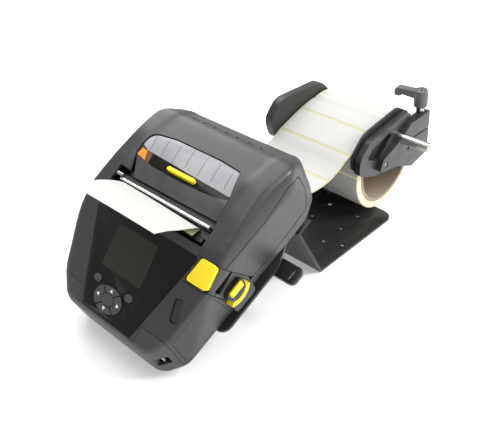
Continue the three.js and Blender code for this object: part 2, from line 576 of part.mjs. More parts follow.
function addPaddle() {
  const paddle = alongZ(outline([[22, 117], [88, 117, 5], [88, 134, 5], [22, 134]]), -12.4, -8.4)
    .subtract(alongZ(outline([[80, 120], [82, 120], [82, 131], [80, 131]]), -20, 0));
  add('release_paddle', paddle.subtract(pinHole), BLACK_PLASTIC, printer);
  add('paddle_pin', alongY(ellipse(30, -10.4, 1.2, 1.2, 12), 112, 139), STEEL, printer);
}
addPaddle();

// ---------------------------------------------------------------- origin under the middle of the whole
root.updateMatrixWorld(true);
const box = new THREE.Box3().setFromObject(root, true);
root.position.set(-(box.min.x + box.max.x) / 2, -(box.min.y + box.max.y) / 2, -box.min.z);
root.updateMatrixWorld(true);

export default root;
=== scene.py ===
"""Looks of a portable label printer on its stand with a roll holder. Metres, in the CAD model's frame."""
import json
import math

import bpy
import bmesh
from mathutils import Matrix, Vector


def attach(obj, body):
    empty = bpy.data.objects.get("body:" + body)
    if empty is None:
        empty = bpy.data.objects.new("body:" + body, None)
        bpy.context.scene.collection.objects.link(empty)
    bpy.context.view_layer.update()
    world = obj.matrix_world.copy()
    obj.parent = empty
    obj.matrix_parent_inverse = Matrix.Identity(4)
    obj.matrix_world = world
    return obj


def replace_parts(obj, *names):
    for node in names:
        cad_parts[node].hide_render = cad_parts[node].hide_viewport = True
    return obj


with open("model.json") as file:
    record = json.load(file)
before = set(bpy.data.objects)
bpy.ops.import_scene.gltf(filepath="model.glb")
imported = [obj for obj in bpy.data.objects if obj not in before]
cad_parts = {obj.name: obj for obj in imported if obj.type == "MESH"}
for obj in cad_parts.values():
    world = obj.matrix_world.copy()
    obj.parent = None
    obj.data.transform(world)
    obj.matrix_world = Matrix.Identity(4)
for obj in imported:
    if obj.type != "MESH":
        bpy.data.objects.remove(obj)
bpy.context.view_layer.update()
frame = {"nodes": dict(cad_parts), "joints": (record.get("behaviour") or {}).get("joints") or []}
NODES = frame["nodes"]
JOINTS = {joint["name"]: joint for joint in frame["joints"]}
MM = 0.001

# ------------------------------------------------------------------ typed sizes, and the frame's joints
HINGE_IN_PRINTER = (0, 188, 30)      # mm, in the printer's own frame
DISPLAY_POINT = (0, 5.3, 40.8)
DISPLAY_SLOPE = 27.0
RING = (-5.0, 9.3)                   # navigation ring on the display face, mm
ROLL_R = 52.6 * MM                   # of the wound roll, and of its card core
CORE_R = 41.5 * MM
WEB_WIDTH = 85.5 * MM
LABEL_PITCH = 33.7 * MM
LABEL_GAP = 2.6 * MM


def printer_frame():
    """The printer's own axes: X across, Y up its base, Z out of its base."""
    slope = Vector(JOINTS["port_door_open"]["axis"]).normalized()
    across = Vector((1, 0, 0))
    out = across.cross(slope)
    origin = Vector(JOINTS["cover_open"]["pos_m"])
    origin -= slope * HINGE_IN_PRINTER[1] * MM
    origin -= out * HINGE_IN_PRINTER[2] * MM
    matrix = Matrix((across, slope, out)).transposed().to_4x4()
    matrix.translation = origin
    return matrix


PRINTER = printer_frame()
DISPLAY_TILT = Matrix.Rotation(math.radians(DISPLAY_SLOPE), 4, "X")
DISPLAY = PRINTER @ Matrix.Translation(Vector(DISPLAY_POINT) * MM) @ DISPLAY_TILT
ROLL_CENTRE = Vector(JOINTS["roll_spin"]["pos_m"])
BASE = "stand_and_printer"


# ------------------------------------------------------------------ materials
class Shader:
    """A principled material that is built up step by step."""

    def __init__(self, name, color, rough, metal=0.0, coat=0.0, coat_rough=0.05, specular=0.5):
        self.mat = bpy.data.materials.new(name)
        self.mat.use_nodes = True
        self.tree = self.mat.node_tree
        self.shader = self.tree.nodes["Principled BSDF"]
        self.color = (*color, 1.0)
        self.set("Base Color", self.color)
        self.set("Roughness", rough)
        self.set("Metallic", metal)
        self.set("Coat Weight", coat)
        self.set("Coat Roughness", coat_rough)
        self.set("Specular IOR Level", specular)
        self.normal = None
        self.base = None

    def set(self, socket, value):
        self.shader.inputs[socket].default_value = value

    def add(self, kind, **values):
        node = self.tree.nodes.new(kind)
        for key, value in values.items():
            if key in node.inputs:
                node.inputs[key].default_value = value
            else:
                setattr(node, key, value)
        return node

    def link(self, a, b):
        self.tree.links.new(a, b)

    def place(self):
        return self.add("ShaderNodeTexCoord").outputs["Object"]

    def noise(self, scale, detail=4.0, stretch=None):
        node = self.add("ShaderNodeTexNoise")
        node.inputs["Scale"].default_value = scale
        node.inputs["Detail"].default_value = detail
        source = self.place()
        if stretch:
            mapping = self.add("ShaderNodeMapping")
            mapping.inputs["Scale"].default_value = stretch
            self.link(source, mapping.inputs["Vector"])
            source = mapping.outputs["Vector"]
        self.link(source, node.inputs["Vector"])
        return node.outputs["Fac"]

    def ramp(self, factor, low, high, start=0.35, end=0.65):
        node = self.add("ShaderNodeMapRange")
        node.inputs["From Min"].default_value = start
        node.inputs["From Max"].default_value = end
        node.inputs["To Min"].default_value = low
        node.inputs["To Max"].default_value = high
        self.link(factor, node.inputs["Value"])
        return node.outputs["Result"]

    def tint(self, factor, color):
        """Mixes color over the base by factor."""
        mix = self.add("ShaderNodeMix", data_type="RGBA")
        inputs = [socket for socket in mix.inputs if socket.type == "RGBA"]
        if self.base:
            self.link(self.base, inputs[0])
        else:
            inputs[0].default_value = self.color
        inputs[1].default_value = (*color, 1.0)
        self.link(factor, mix.inputs["Factor"])
        self.base = [socket for socket in mix.outputs if socket.type == "RGBA"][0]
        self.link(self.base, self.shader.inputs["Base Color"])
        return self

    def bump(self, height, strength, distance):
        node = self.add("ShaderNodeBump")
        node.inputs["Strength"].default_value = strength
        node.inputs["Distance"].default_value = distance
        self.link(height, node.inputs["Height"])
        if self.normal:
            self.link(self.normal, node.inputs["Normal"])
        self.normal = node.outputs["Normal"]
        self.link(self.normal, self.shader.inputs["Normal"])
        return self

    def rough(self, factor, low, high):
        self.link(self.ramp(factor, low, high), self.shader.inputs["Roughness"])
        return self


def lighter(color, by):
    return tuple(min(1.0, c * by) for c in color)


def moulded(name, color, rough, depth=0.00004):
    """Injection-moulded plastic or rubber: spark-eroded grain and faint blotches."""
    shader = Shader(name, color, rough)
    shader.tint(shader.ramp(shader.noise(38.0), 0.0, 0.5), lighter(color, 1.08))
    shader.rough(shader.noise(160.0), rough - 0.02, rough + 0.03)
    shader.bump(shader.noise(2600.0, 2.0), 0.35, depth)
    return shader.mat


def glossy(name, color, rough=0.06, shine=0.4):
    """Hard gloss plastic with faint smears."""
    shader = Shader(name, color, rough, coat=shine, coat_rough=0.03, specular=shine)
    shader.tint(shader.ramp(shader.noise(25.0), 0.0, 0.35), lighter(color, 1.6))
    shader.rough(shader.noise(90.0), rough * 0.6, rough * 2.0)
    return shader.mat


def brushed(name, color, rough, stretch, metal=1.0):
    """Metal with fine lines along one direction."""
    shader = Shader(name, color, rough, metal=metal)
    lines = shader.noise(900.0, 3.0, stretch)
    shader.tint(shader.ramp(lines, 0.0, 0.3), lighter(color, 1.5))
    shader.rough(lines, rough - 0.08, rough + 0.1)
    shader.bump(lines, 0.25, 0.00003)
    return shader.mat


def powder_coat(name, color, rough):
    """Black powder coat: orange-peel bumps, dust specks."""
    shader = Shader(name, color, rough)
    shader.tint(shader.ramp(shader.noise(30.0), 0.0, 0.6), lighter(color, 1.6))
    shader.tint(shader.ramp(shader.noise(700.0, 1.0), 0.0, 0.6, 0.70, 0.76), lighter(color, 6.0))
    shader.bump(shader.noise(1500.0, 2.0), 0.4, 0.00006)
    return shader.mat


def paper(name, color, rough=0.55):
    shader = Shader(name, color, rough, specular=0.3)
    shader.tint(shader.ramp(shader.noise(60.0), 0.0, 0.5), lighter(color, 0.97))
    shader.bump(shader.noise(2200.0, 3.0), 0.15, 0.00003)
    return shader.mat


def card(name, color):
    """Grey-brown wound card with fibres."""
    shader = Shader(name, color, 0.9, specular=0.2)
    fibres = shader.noise(420.0, 5.0, (0.25, 1.0, 1.0))
    shader.tint(shader.ramp(fibres, 0.0, 0.7), lighter(color, 0.72))
    shader.tint(shader.ramp(shader.noise(35.0), 0.0, 0.5), lighter(color, 1.18))
    shader.bump(fibres, 0.4, 0.0001)
    return shader.mat


def wound_edges(name, color, dark):
    """The end of a wound roll: fine rings round its axis."""
    shader = Shader(name, color, 0.6, specular=0.25)
    mapping = shader.add("ShaderNodeMapping")
    mapping.inputs["Location"].default_value = -ROLL_CENTRE
    shader.link(shader.place(), mapping.inputs["Vector"])
    flat = shader.add("ShaderNodeVectorMath", operation="MULTIPLY")
    flat.inputs[1].default_value = (0.0, 1.0, 1.0)
    shader.link(mapping.outputs["Vector"], flat.inputs[0])
    length = shader.add("ShaderNodeVectorMath", operation="LENGTH")
    shader.link(flat.outputs["Vector"], length.inputs[0])
    turns = shader.add("ShaderNodeMath", operation="MULTIPLY")
    turns.inputs[1].default_value = 9000.0
    shader.link(length.outputs["Value"], turns.inputs[0])
    wave = shader.add("ShaderNodeMath", operation="SINE")
    shader.link(turns.outputs[0], wave.inputs[0])
    shader.tint(shader.ramp(wave.outputs[0], 0.0, 0.6, 0.2, 1.0), dark)
    shader.bump(wave.outputs[0], 0.3, 0.00008)
    return shader.mat


CASE = moulded("case_plastic", (0.026, 0.027, 0.029), 0.42)
OVERMOULD = moulded("over_mould", (0.027, 0.027, 0.029), 0.40, depth=0.00005)
NOSE = moulded("nose_rubber", (0.034, 0.035, 0.037), 0.44)
KEYS = moulded("key_plastic", (0.050, 0.050, 0.054), 0.34, depth=0.00002)
YELLOW = moulded("yellow_plastic", (0.90, 0.70, 0.010), 0.42, depth=0.00003)
AMBER = moulded("amber_plastic", (0.62, 0.24, 0.012), 0.25, depth=0.00001)
BLACK = moulded("black_plastic", (0.014, 0.014, 0.015), 0.38)
GLASS = glossy("display_glass", (0.005, 0.005, 0.0045), 0.05, 0.15)
SCREEN = glossy("lcd_screen", (0.026, 0.024, 0.020), 0.10, 0.15)
PANEL_GREY = glossy("gloss_panel", (0.045, 0.045, 0.045), 0.22, 0.3)
SMOKE = glossy("smoked_window", (0.27, 0.27, 0.285), 0.22, 0.3)
# a darker copy of the amber plastic: painted shade beside the amber patch in the window
SHADED_AMBER = glossy("amber_painted_shade", (0.13, 0.045, 0.012), 0.20, 0.3)
LEVER = moulded("lever_grey", (0.080, 0.085, 0.090), 0.42)
ANODISED = brushed("anodised", (0.030, 0.030, 0.030), 0.36, (1.0, 0.06, 1.0), metal=0.35)
STEEL = brushed("steel", (0.40, 0.395, 0.38), 0.26, (0.05, 1.0, 1.0))
BRIGHT = brushed("bright_steel", (0.78, 0.78, 0.77), 0.3, (0.05, 1.0, 1.0))
POWDER = powder_coat("powder_coat", (0.013, 0.013, 0.0125), 0.40)
LABEL = paper("label_face", (0.50, 0.50, 0.485))
LINER = paper("liner", (0.47, 0.45, 0.27), 0.35)
CARD = card("core_card", (0.36, 0.29, 0.22))
EDGES = wound_edges("wound_edges", (0.86, 0.79, 0.58), (0.66, 0.57, 0.36))
BOARD = moulded("circuit_board", (0.02, 0.13, 0.05), 0.35)
MARK = paper("printed_mark", (0.85, 0.85, 0.85), 0.4)

NODE_MATERIALS = {
    CASE: ["lower_case", "front_bezel", "cover_side_right", "cover_side_left", "port_cover",
           "latch_knob"],
    OVERMOULD: ["media_cover"],
    KEYS: ["key_left", "key_up", "key_right", "key_down", "key_ok", "soft_key_left", "soft_key_right"],
    YELLOW: ["cover_grip_bar", "latch_button", "latch_knob_bar", "latch_accent"],
    AMBER: ["media_guide_left", "media_guide_right"],
    BLACK: ["lcd_module", "battery_pack", "platen_roller", "printhead", "platen_gear", "idler_gear",
            "motor_pinion", "guide_rail", "power_button", "release_paddle", "support_roller",
            "front_foot"],
    GLASS: ["display_glass"],
    PANEL_GREY: ["cover_front_panel"],
    SMOKE: ["cover_window"],
    LEVER: ["clamp_lever"],
    ANODISED: ["head_heatsink", "left_side_plate", "guide_body"],
    STEEL: ["hinge_pin", "strap_post", "tear_bar", "drive_motor", "paddle_pin", "roll_shaft", "shaft_nut",
            "foot_screw_1", "foot_screw_2", "guide_screw", "clamp_lever_screw"],
    POWDER: ["cradle_plate", "stand_sheet", "upright_bracket", "guide_plate"],
    BOARD: ["keypad_board", "main_board"],
    LABEL: ["issued_label", "label_web", "label_roll"],
    CARD: ["roll_core"],
}


def paint(obj, mat):
    obj.data.materials.clear()
    obj.data.materials.append(mat)


# ------------------------------------------------------------------ surface of the carried-over nodes
SOFTENED = {                       # voxel size in mm and smoothing steps of moulded pieces
    "clamp_lever": (0.5, 6),
    "battery_pack": (1.2, 3),
}
BEVELS = {                         # widths in mm
    "roll_shaft": 1.4,
    "latch_button": 0.8,
    "release_paddle": 0.9,
    "stand_sheet": 0.35,
    "cradle_plate": 0.5,
    "display_glass": 0.25,
}
WELD_DISTANCE = 0.01 * MM
NODE_SHARP = math.radians(32)      # edges steeper than these stay sharp
MESH_SHARP = math.radians(40)
SHELL_SHARP = math.radians(38)


def weld(obj):
    modifier = obj.modifiers.new("weld", "WELD")
    modifier.merge_threshold = WELD_DISTANCE


def soften(obj, voxel, steps):
    weld(obj)
    remesh = obj.modifiers.new("remesh", "REMESH")
    remesh.mode = "VOXEL"
    remesh.voxel_size = voxel * MM
    remesh.use_smooth_shade = True
    smooth = obj.modifiers.new("smooth", "SMOOTH")
    smooth.factor = 0.5
    smooth.iterations = steps


def bevel(obj, width):
    weld(obj)
    modifier = obj.modifiers.new("bevel", "BEVEL")
    modifier.width = width * MM
    modifier.segments = 3
    modifier.limit_method = "ANGLE"
    modifier.angle_limit = MESH_SHARP
    modifier.harden_normals = True


def dress_nodes():
    for mat, names in NODE_MATERIALS.items():
        for name in names:
            obj = NODES[name]
            paint(obj, mat)
            obj.data.shade_smooth()
            obj.data.set_sharp_from_angle(angle=NODE_SHARP)
            if name in SOFTENED:
                soften(obj, *SOFTENED[name])
            elif name in BEVELS:
                bevel(obj, BEVELS[name])


dress_nodes()


# ------------------------------------------------------------------ mesh helpers
def closed_mesh(name, points, faces):
    """A mesh whose faces all look outwards."""
    mesh = bpy.data.meshes.new(name)
    mesh.from_pydata([tuple(p) for p in points], [], faces)
    mesh.update()
    bm = bmesh.new()
    bm.from_mesh(mesh)
    bmesh.ops.recalc_face_normals(bm, faces=bm.faces)
    bm.to_mesh(mesh)
    bm.free()
    return mesh


def new_object(name, points, faces, mat, body):
    mesh = closed_mesh(name, points, faces)
    obj = bpy.data.objects.new(name, mesh)
    bpy.context.scene.collection.objects.link(obj)
    mesh.materials.append(mat)
    mesh.shade_smooth()
    mesh.set_sharp_from_angle(angle=MESH_SHARP)
    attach(obj, body)
    return obj


def prism_faces(count):
    """Two ends of count corners each, and the sides between them."""
    faces = [tuple(reversed(range(count))), tuple(range(count, 2 * count))]
    faces += [(i, (i + 1) % count, count + (i + 1) % count, count + i) for i in range(count)]
    return faces


def plate(name, outline, low, high, matrix, mat, body):
    """A flat outline in mm, from low to high along the matrix's Z."""
    points = [matrix @ Vector((x * MM, y * MM, z * MM)) for z in (low, high) for x, y in outline]
    return new_object(name, points, prism_faces(len(outline)), mat, body)


def ellipse(cx, cy, rx, ry, steps=32):
    angles = [2 * math.pi * k / steps for k in range(steps)]
    return [(cx + rx * math.cos(angle), cy + ry * math.sin(angle)) for angle in angles]


def round_box(x0, x1, y0, y1, radius, steps=5):
    """Corners of a rounded rectangle."""
    points = []
    low_x, high_x = x0 + radius, x1 - radius
    low_y, high_y = y0 + radius, y1 - radius
    centres = [(high_x, high_y), (low_x, high_y), (low_x, low_y), (high_x, low_y)]
    for quarter, (cx, cy) in enumerate(centres):
        for k in range(steps + 1):
            angle = math.radians(90 * quarter + 90 * k / steps)
            points.append((cx + radius * math.cos(angle), cy + radius * math.sin(angle)))
    return points


def smooth_path(points, step):
    """Evenly spaced points on a Catmull-Rom curve through (y, z) points."""
    dense = []
    samples = 24                   # between two given points
    for i in range(len(points) - 1):
        p0 = points[max(i - 1, 0)]
        p1, p2 = points[i], points[i + 1]
        p3 = points[min(i + 2, len(points) - 1)]
        for k in range(samples):
            t = k / samples
            dense.append(tuple(0.5 * (2 * b + (c - a) * t + (2 * a - 5 * b + 4 * c - d) * t * t
                                      + (3 * b - a - 3 * c + d) * t ** 3)
                               for a, b, c, d in zip(p0, p1, p2, p3)))
    dense.append(points[-1])
    result = [dense[0]]
    left = step
    for a, b in zip(dense, dense[1:]):
        length = math.dist(a, b)
        while left <= length:
            a = tuple(u + (v - u) * left / length for u, v in zip(a, b))
            length -= left
            result.append(a)
            left = step
        left -= length
    return result


STRIP_COLUMNS = 8


def corner_pull(end, corner):
    """How far a sheet's side lies inwards, at a distance from its end, for a rounded corner."""
    if end >= corner:
        return 0.0
    return corner - math.sqrt(max(corner ** 2 - (corner - end) ** 2, 0.0))


def strip_faces(count):
    """Faces of a sheet with count rows, each a lower and then an upper line of points."""
    line = STRIP_COLUMNS + 1
    row = 2 * line
    faces = []
    for i in range(count - 1):
        a, b = i * row, (i + 1) * row
        for k in range(STRIP_COLUMNS):
            faces.append((a + k, a + k + 1, b + k + 1, b + k))
            faces.append((a + line + k, b + line + k, b + line + k + 1, a + line + k + 1))
        faces.append((a, b, b + line, a + line))
        faces.append((a + line - 1, a + row - 1, b + row - 1, b + line - 1))
    last = (count - 1) * row
    for k in range(STRIP_COLUMNS):
        faces.append((k, k + line, k + line + 1, k + 1))
        faces.append((last + k, last + k + 1, last + k + line + 1, last + k + line))
    return faces


def strip(name, path, x0, x1, lift, thickness, mat, body, corner=0.0):
    """A thin sheet along a (y, z) path in metres, its ends' corners rounded in plan."""
    points = []
    count = len(path)
    lengths = [0.0]
    for a, b in zip(path, path[1:]):
        lengths.append(lengths[-1] + math.dist(a, b))
    for i, (y, z) in enumerate(path):
        before, after = path[max(i - 1, 0)], path[min(i + 1, count - 1)]
        along_y, along_z = after[0] - before[0], after[1] - before[1]
        size = math.hypot(along_y, along_z)
        normal = Vector((0, along_z / size, -along_y / size))
        if normal.z < 0:
            normal = -normal
        pull = corner_pull(min(lengths[i], lengths[-1] - lengths[i]), corner)
        for depth in (lift, lift + thickness):
            for k in range(STRIP_COLUMNS + 1):
                x = x0 + pull + (x1 - x0 - 2 * pull) * k / STRIP_COLUMNS
                points.append(Vector((x, y, z)) + normal * depth)
    return new_object(name, points, strip_faces(count), mat, body)


# ------------------------------------------------------------------ printer shells
# corners and fillets in mm, in the printer's own frame
SIDE = [(-3.5, 0, 5), (-3.5, 36.3, 5), (81, 79.4, 10), (112, 84.5, 20), (140, 87, 30), (172, 81, 24),
        (191, 63, 13), (191, 36, 16), (172, 0, 14)]
PLAN_HALF = [(50, -3.5, 14), (65, 14, 20), (78, 56, 30), (80, 90, 20), (80, 160, 24), (66, 191, 22)]
FRONT_HALF = [(65, 0, 5), (80, 68, 9), (75, 88.2, 15)]
FLANK = [(60, 69.2, 0), (125, 69.4, 30), (158, 74, 8), (172, 68, 8), (175, 50, 12), (171, 20, 0),
         (60, 10, 0)]
FLANK_JOINT = 0.7
REAR_RIM = [(99, 17.5), (150, 17.5), (166, 20), (178, 27), (184, 31), (300, 31), (300, 150)]
LOWER_RIM = [(-90, -90), (300, -90), (300, 30), (184, 30), (178, 26.3), (166, 19.3), (150, 16.7),
             (95.1, 16.7), (95.1, 6.8), (12.1, 6.8), (12.1, 150), (-90, 150)]
COVER_SHOULDER = [(64, 103), (95.2, 25), (99.1, 17.5), (99.1, 103)]
BEZEL_NOTCH = [(63.5, 102.8), (94.7, 24.8), (120, 24.8), (120, 102.8)]
SHOULDER_X = 56.7                  # where a shoulder starts, from the middle
SHELL_THICKNESS = 2.8
VOXEL = 1.5
ROUNDING_STEPS = 34
SINK_DEPTH = 1.6                   # the roof lies this much lower than its side bumpers
SINK_SIDE = (51, 9)                # each is where a blend starts, and its length
SINK_FRONT = (90, 14)
SINK_HEIGHT = (40, 30)
LOUVRE_PITCH = 13
LOUVRE_HALF = 5
OPENING = [(-42, 90, 0), (-55.4, 120, 6), (-56.5, 129, 6), (-55, 144, 9), (-30, 147.8, 20), (22, 148, 20),
           (43.2, 145.6, 3), (51.8, 122, 6), (55.5, 99, 0), (56, 90, 0)]
PANEL = [(-41.5, 101.6, 1), (54.4, 102.3, 1), (51.2, 120.4, 0.5), (38, 117.6, 20), (22.9, 116.3, 20),
         (1, 115.8, 30), (-31, 116.2, 20), (-53.6, 119.6, 0.5)]
WINDOW = [(-48, 127.4, 0.5), (50.2, 123.2, 0.5), (42.6, 145, 2), (20, 147.2, 20), (-30, 147, 20),
          (-54, 143, 9), (-55.6, 130, 3)]
RIBS = [((-49.8, 142.6), (-46.2, 128.6)), ((-36.2, 144.1), (-32.2, 127)), ((-21.9, 145), (-17.9, 126.4)),
        ((-7.6, 146.1), (-3.7, 127.6)), ((8, 145.9), (11.7, 127)), ((22.3, 144.8), (26.2, 126.8)),
        ((37.5, 143.5), (40.6, 127))]
AMBER_PATCH = [(-54.6, 120.4), (-54, 127.5), (-47.9, 127), (-44, 118.3)]
# where the amber patch lies in painted shade
SHADED_AMBER_PATCH = [(-47.7, 127), (-41, 126.7), (-38.6, 117.4), (-43.8, 118.2)]
RIB_GAP = 0.22                     # half the width of the groove between two ribs
CHANNEL = [(-52, 96.8), (55, 96.8), (55, 101.4), (-52, 101.1)]
GRIP = [(-16.2, 119.0, 1.8), (14.8, 119.0, 1.8), (14.8, 122.6, 1.8), (-16.2, 122.6, 1.8)]
BLADE = [(94.6, 74), (96.8, 74), (96.8, 80.4), (95.4, 81.2), (94.6, 80.4)]
BLADE_HALF = 52
SLOT_PIN = (98, 82)
LIP = 36
GLASS_OUTLINE = [(-30, -5.4, 3), (30, -5.4, 3), (59, 76, 3), (-59, 76, 3)]
LATCH_OUTLINE = [(55.5, 57, 2), (77, 57, 3), (77.6, 77.4, 3), (62, 77.4, 2)]
PILL_OUTLINE = [(58.2, 23, 3.6), (66, 25, 3.6), (62.5, 43, 3.6), (54.7, 41, 3.6)]
PORT_OUTLINE = [(15.5, 10, 1), (67, 10, 1), (56.5, 60, 2), (15.5, 39, 2)]
KNOB = (77, 37)
KNOB_R = 9.6
ACCENT_INNER = 11
ACCENT_OUTER = 15.5


def fillet(corners, steps=5):
    """The corners of a polygon, each rounded by its own radius."""
    result = []
    count = len(corners)
    for i, (x, y, radius) in enumerate(corners):
        here = Vector((x, y))
        back = Vector(corners[i - 1][:2]) - here
        on = Vector(corners[(i + 1) % count][:2]) - here
        if radius == 0:
            result.append((x, y))
            continue
        half = back.angle(on) / 2
        reach = min(radius / math.tan(half), 0.49 * back.length, 0.49 * on.length)
        start = here + back.normalized() * reach
        end = here + on.normalized() * reach
        for k in range(steps + 1):
            t = k / steps
            point = start * (1 - t) ** 2 + here * 2 * t * (1 - t) + end * t ** 2
            result.append((point.x, point.y))
    return result


def mirrored(half):
    return list(half) + [(-x, y, r) for x, y, r in reversed(half)]


def inset(corners, by):
    """The corners with every edge moved inwards by a distance."""
    count = len(corners)
    area = 0
    for i, (x, y, _) in enumerate(corners):
        next_x, next_y, _ = corners[(i + 1) % count]
        area += x * next_y - next_x * y
    turn = 1 if area > 0 else -1
    edges = []
    for i in range(count):
        along = Vector(corners[(i + 1) % count][:2]) - Vector(corners[i][:2])
        along.normalize()
        edges.append(Vector((-along.y, along.x)) * turn)
    result = []
    for i, (x, y, radius) in enumerate(corners):
        move = (edges[i - 1] + edges[i]) * (by / (1 + edges[i - 1].dot(edges[i])))
        result.append((x + move.x, y + move.y, radius))
    return result


PLACES = {                         # from a flat outline's point and the swept distance
    "X": lambda a, b, swept: (swept, a, b),
    "Y": lambda a, b, swept: (a, swept, b),
    "Z": lambda a, b, swept: (a, b, swept),
}


def prism(points, low, high, axis="Z", matrix=None):
    """A closed mesh swept along an axis, in mm. Along X the points are (y, z); along Y (x, z)."""
    put = PLACES[axis]
    corners = [Vector(put(a, b, swept)) for swept in (low, high) for a, b in points]
    if matrix:
        corners = [matrix @ corner for corner in corners]
    return closed_mesh("prism", corners, prism_faces(len(points)))


def block(x0, x1, y0, y1, z0, z1):
    return prism([(x0, y0), (x1, y0), (x1, y1), (x0, y1)], z0, z1)


def evaluated(mesh, add_modifiers):
    """The mesh after temporary modifiers."""
    holder = bpy.data.objects.new("temporary", mesh)
    bpy.context.scene.collection.objects.link(holder)
    add_modifiers(holder)
    graph = bpy.context.evaluated_depsgraph_get()
    result = bpy.data.meshes.new_from_object(holder.evaluated_get(graph))
    bpy.data.objects.remove(holder)
    return result


def combine(mesh, other, operation):
    cutter = bpy.data.objects.new("cutter", other)
    bpy.context.scene.collection.objects.link(cutter)

    def add_boolean(holder):
        modifier = holder.modifiers.new("combine", "BOOLEAN")
        modifier.operation = operation
        modifier.solver = "MANIFOLD"
        modifier.object = cutter

    result = evaluated(mesh, add_boolean)
    bpy.data.objects.remove(cutter)
    return result


def cut(mesh, *others):
    for other in others:
        mesh = combine(mesh, other, "DIFFERENCE")
    return mesh


def keep(mesh, *others):
    for other in others:
        mesh = combine(mesh, other, "INTERSECT")
    return mesh


def smoothstep(t):
    t = min(max(t, 0.0), 1.0)
    return t * t * (3 - 2 * t)


def blend(value, start, length):
    return smoothstep((value - start) / length)


def rounded_printer(by):
    """The printer's outer form, moved inwards, with soft edges and a roof between two bumpers."""
    side = prism(fillet(inset(SIDE, by)), -100, 100, "X")
    plan = prism(fillet(inset(mirrored(PLAN_HALF), by)), -20, 120)
    front = prism(fillet(inset(mirrored(FRONT_HALF), by)), -20, 220, "Y")

    def add_rounding(holder):
        remesh = holder.modifiers.new("remesh", "REMESH")
        remesh.mode = "VOXEL"
        remesh.voxel_size = VOXEL
        smooth = holder.modifiers.new("smooth", "SMOOTH")
        smooth.factor = 0.5
        smooth.iterations = ROUNDING_STEPS

    mesh = evaluated(keep(side, plan, front), add_rounding)
    for vertex in mesh.vertices:
        x, y, z = vertex.co
        middle = 1 - blend(abs(x), *SINK_SIDE)
        vertex.co.z -= SINK_DEPTH * middle * blend(y, *SINK_FRONT) * blend(z, *SINK_HEIGHT)
    return mesh


def shell_part(name, mesh, mat, body):
    mesh.transform(PRINTER @ Matrix.Scale(MM, 4))
    mesh.materials.clear()
    mesh.materials.append(mat)
    mesh.shade_smooth()
    mesh.set_sharp_from_angle(angle=SHELL_SHARP)
    obj = bpy.data.objects.new(name, mesh)
    bpy.context.scene.collection.objects.link(obj)
    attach(obj, body)
    return obj


def shell_object(name, mesh, mat, body, replaced):
    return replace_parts(shell_part(name, mesh, mat, body), replaced)


ON_DISPLAY = Matrix.Translation(Vector(DISPLAY_POINT)) @ DISPLAY_TILT    # mm in the printer's frame
OUTER = rounded_printer(0.0)
INNER = rounded_printer(SHELL_THICKNESS)


def cover_region():
    upper = prism([(99, 150), *REAR_RIM], -100, 100, "X")
    shoulder = prism(COVER_SHOULDER, -100, 100, "X")
    shoulder = cut(shoulder, block(-SHOULDER_X - 0.3, SHOULDER_X + 0.3, 0, 99, 0, 200))
    return combine(upper, shoulder, "UNION")


def add_cover():
    region = cover_region()
    flank = prism(fillet(FLANK), -100, 100, "X")
    sides = cut(flank, block(-49.7, 49.7, 40, 230, -30, 130))
    louvres = []
    for i in range(-3, 4):
        middle = i * LOUVRE_PITCH
        louvres.append(block(middle - LOUVRE_HALF, middle + LOUVRE_HALF, 166, 200, 73, 75.6))
    pin_hole = prism(ellipse(*SLOT_PIN, 7.5, 7.5), -60, -44, "X")
    mesh = cut(keep(OUTER, region), INNER, sides, prism(fillet(OPENING), 60, 120),
               block(-46, 46, 150, 200, 10, 26), pin_hole, *louvres)
    shell_object("cover_shell", mesh, OVERMOULD, "cover", "media_cover")
    smaller = prism(fillet(inset(FLANK, FLANK_JOINT)), -100, 100, "X")
    for name, low, high in (("right", 50, 100), ("left", -100, -50)):
        side = cut(keep(OUTER, region, smaller, block(low, high, 40, 220, -30, 130)), INNER)
        shell_object(f"cover_flank_{name}", side, CASE, "cover", f"cover_side_{name}")


def moved(mesh, down):
    copy = mesh.copy()
    copy.transform(Matrix.Translation((0, 0, -down)))
    return copy


def band(outline, down, thick):
    """A sheet that follows the printer's top, inside an outline in plan."""
    sheet = keep(moved(OUTER, down), prism(outline, 60, 120))
    return cut(sheet, moved(OUTER, down + thick))


def add_window():
    """The window's dark backing and ribbed grey part, amber at its left end with a darker amber strip of
    painted shade beside it, panel, channel and grip.
    """
    seat = OPENING[1:-2] + [(54.6, 104, 0), (-43, 104, 0)]
    backing = band(fillet(inset(seat, 0.35)), 1.3, 1.5)
    shell_object("window_backing", backing, GLASS, "cover", "cover_window")
    grooves = []
    for (x0, y0), (x1, y1) in RIBS:
        outline = [(x0 - RIB_GAP, y0), (x0 + RIB_GAP, y0), (x1 + RIB_GAP, y1), (x1 - RIB_GAP, y1)]
        grooves.append(prism(outline, 60, 120))
    ribbed = cut(band(fillet(WINDOW), 0.9, 0.35), *grooves)
    shell_part("ribbed_window", ribbed, SMOKE, "cover")
    shell_part("amber_glow", band(AMBER_PATCH, 1.1, 0.15), AMBER, "cover")
    # painted shade: a darker amber strip beside the amber patch
    shell_part("painted_amber_shade", band(SHADED_AMBER_PATCH, 1.1, 0.15), SHADED_AMBER, "cover")
    panel = band(fillet(PANEL), 0.5, 1.8)
    shell_object("front_panel", panel, PANEL_GREY, "cover", "cover_front_panel")
    shell_part("slot_channel", band(CHANNEL, 3.2, 3.0), BLACK, "cover")
    grip = prism(fillet(GRIP), 80, 86)
    bevel(shell_object("grip_bar", grip, YELLOW, "cover", "cover_grip_bar"), 0.7)


def add_tear_bar():
    blade = prism(BLADE, -BLADE_HALF, BLADE_HALF, "X")
    bevel(shell_object("tear_blade", blade, BRIGHT, "cover", "tear_bar"), 0.2)
    pin = prism(ellipse(*SLOT_PIN, 1.5, 1.5), -57, -50, "X")
    shell_part("slot_pin", pin, STEEL, "cover")


def lip_region(grow):
    half = LIP + grow
    low = -6 - grow
    return prism([(-half, low), (half, low), (half, 12), (-half, 12)], -5 - grow, 20, matrix=ON_DISPLAY)


